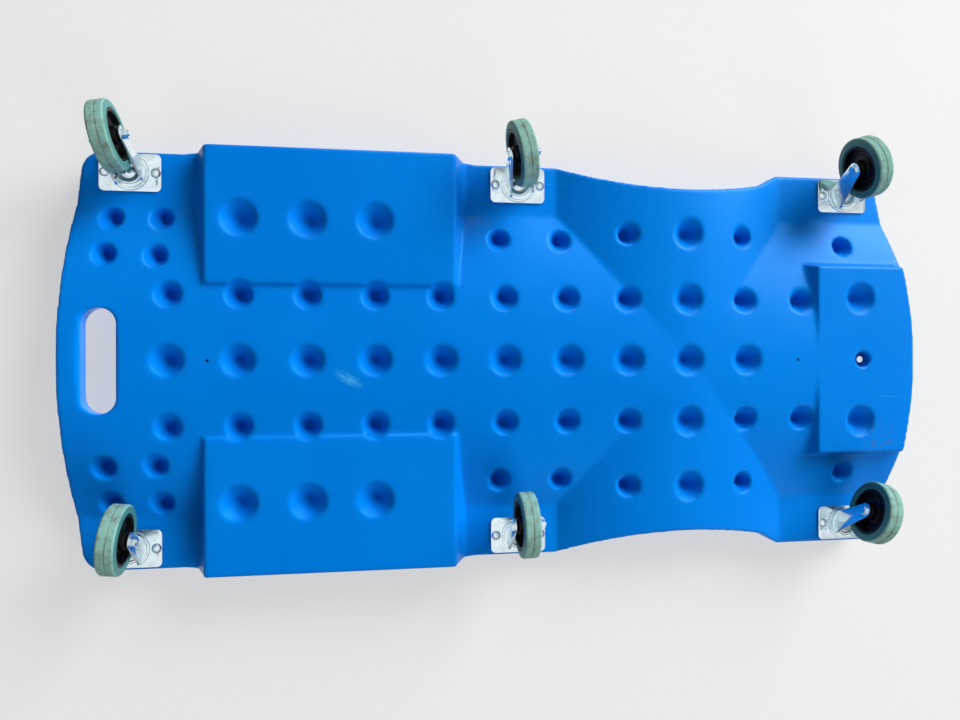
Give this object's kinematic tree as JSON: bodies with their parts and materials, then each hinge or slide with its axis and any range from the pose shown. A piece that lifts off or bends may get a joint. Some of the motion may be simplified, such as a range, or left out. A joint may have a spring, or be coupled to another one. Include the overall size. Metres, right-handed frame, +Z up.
{
  "type": "mechanics creeper",
  "caption": "Low rolling board for lying under a car: moulded body trough with two tool trays, handle slot and padded headrest, on swivel casters.",
  "frame": {"origin": "on the floor, under the centre of the footprint of deck and trailing wheels; the deck's own mid-plane is at y = +0.018 m", "axes": "+X towards the head end, +Y to the right of a user lying face up, +Z up"},
  "size_m": [1.03, 0.5196, 0.1263],
  "materials": {
    "deck_plastic": "blow-moulded polyethylene, satin",
    "zinc": "bright zinc plate",
    "bearing_steel": "polished",
    "hub_plastic": "moulded polypropylene",
    "tyre_rubber": "worn grey-green rubber",
    "vinyl": "grained vinyl",
    "foam": "open-cell foam",
    "plywood": "raw plywood"
  },
  "bodies": {
    "deck": {"deck": "deck_plastic", "caster_bolts": "zinc", "sleeve_nuts": "zinc", "headrest_cover": "vinyl", "headrest_foam": "foam", "headrest_board": "plywood", "headrest_bolt": "zinc", "headrest_washer": "zinc", "headrest_tee_nut": "zinc", "foot_left_plate": "zinc", "foot_left_swivel_balls": "bearing_steel", "foot_left_king_pin": "zinc", "foot_right_plate": "zinc", "foot_right_swivel_balls": "bearing_steel", "foot_right_king_pin": "zinc", "mid_left_plate": "zinc", "mid_left_swivel_balls": "bearing_steel", "mid_left_king_pin": "zinc", "mid_right_plate": "zinc", "mid_right_swivel_balls": "bearing_steel", "mid_right_king_pin": "zinc", "head_left_plate": "zinc", "head_left_swivel_balls": "bearing_steel", "head_left_king_pin": "zinc", "head_right_plate": "zinc", "head_right_swivel_balls": "bearing_steel", "head_right_king_pin": "zinc"},
    "foot_left_swivel": {"foot_left_fork": "zinc", "foot_left_axle_bolt": "zinc", "foot_left_axle_nut": "zinc"},
    "foot_left_wheel": {"foot_left_hub": "hub_plastic", "foot_left_tyre": "tyre_rubber"},
    "foot_right_swivel": {"foot_right_fork": "zinc", "foot_right_axle_bolt": "zinc", "foot_right_axle_nut": "zinc"},
    "foot_right_wheel": {"foot_right_hub": "hub_plastic", "foot_right_tyre": "tyre_rubber"},
    "mid_left_swivel": {"mid_left_fork": "zinc", "mid_left_axle_bolt": "zinc", "mid_left_axle_nut": "zinc"},
    "mid_left_wheel": {"mid_left_hub": "hub_plastic", "mid_left_tyre": "tyre_rubber"},
    "mid_right_swivel": {"mid_right_fork": "zinc", "mid_right_axle_bolt": "zinc", "mid_right_axle_nut": "zinc"},
    "mid_right_wheel": {"mid_right_hub": "hub_plastic", "mid_right_tyre": "tyre_rubber"},
    "head_left_swivel": {"head_left_fork": "zinc", "head_left_axle_bolt": "zinc", "head_left_axle_nut": "zinc"},
    "head_left_wheel": {"head_left_hub": "hub_plastic", "head_left_tyre": "tyre_rubber"},
    "head_right_swivel": {"head_right_fork": "zinc", "head_right_axle_bolt": "zinc", "head_right_axle_nut": "zinc"},
    "head_right_wheel": {"head_right_hub": "hub_plastic", "head_right_tyre": "tyre_rubber"}
  },
  "joints": [
    {"name": "foot_left_swivel", "type": "hinge", "parent": "deck", "child": "foot_left_swivel", "pos_m": [-0.4475, -0.19737, 0.0375], "axis": [0, 0, 1], "continuous": true},
    {"name": "foot_left_roll", "type": "hinge", "parent": "foot_left_swivel", "child": "foot_left_wheel", "pos_m": [-0.45217, -0.22142, 0.0375], "axis": [0.9816, -0.1908, 0], "continuous": true},
    {"name": "foot_right_swivel", "type": "hinge", "parent": "deck", "child": "foot_right_swivel", "pos_m": [-0.4475, 0.23163, 0.0375], "axis": [0, 0, 1], "continuous": true},
    {"name": "foot_right_roll", "type": "hinge", "parent": "foot_right_swivel", "child": "foot_right_wheel", "pos_m": [-0.44494, 0.20727, 0.0375], "axis": [0.9945, 0.1045, 0], "continuous": true},
    {"name": "mid_left_swivel", "type": "hinge", "parent": "deck", "child": "mid_left_swivel", "pos_m": [0.0015, -0.19737, 0.0375], "axis": [0, 0, 1], "continuous": true},
    {"name": "mid_left_roll", "type": "hinge", "parent": "mid_left_swivel", "child": "mid_left_wheel", "pos_m": [-0.00401, -0.22124, 0.0375], "axis": [0.9744, -0.225, 0], "continuous": true},
    {"name": "mid_right_swivel", "type": "hinge", "parent": "deck", "child": "mid_right_swivel", "pos_m": [0.0015, 0.23163, 0.0375], "axis": [0, 0, 1], "continuous": true},
    {"name": "mid_right_roll", "type": "hinge", "parent": "mid_right_swivel", "child": "mid_right_wheel", "pos_m": [0.00064, 0.20715, 0.0375], "axis": [0.9994, -0.0349, 0], "continuous": true},
    {"name": "head_left_swivel", "type": "hinge", "parent": "deck", "child": "head_left_swivel", "pos_m": [0.4365, -0.19737, 0.0375], "axis": [0, 0, 1], "continuous": true},
    {"name": "head_left_roll", "type": "hinge", "parent": "head_left_swivel", "child": "head_left_wheel", "pos_m": [0.42934, -0.22079, 0.0375], "axis": [0.9563, -0.2924, 0], "continuous": true},
    {"name": "head_right_swivel", "type": "hinge", "parent": "deck", "child": "head_right_swivel", "pos_m": [0.4365, 0.23163, 0.0375], "axis": [0, 0, 1], "continuous": true},
    {"name": "head_right_roll", "type": "hinge", "parent": "head_right_swivel", "child": "head_right_wheel", "pos_m": [0.44243, 0.20786, 0.0375], "axis": [0.9703, 0.2419, 0], "continuous": true}
  ]
}
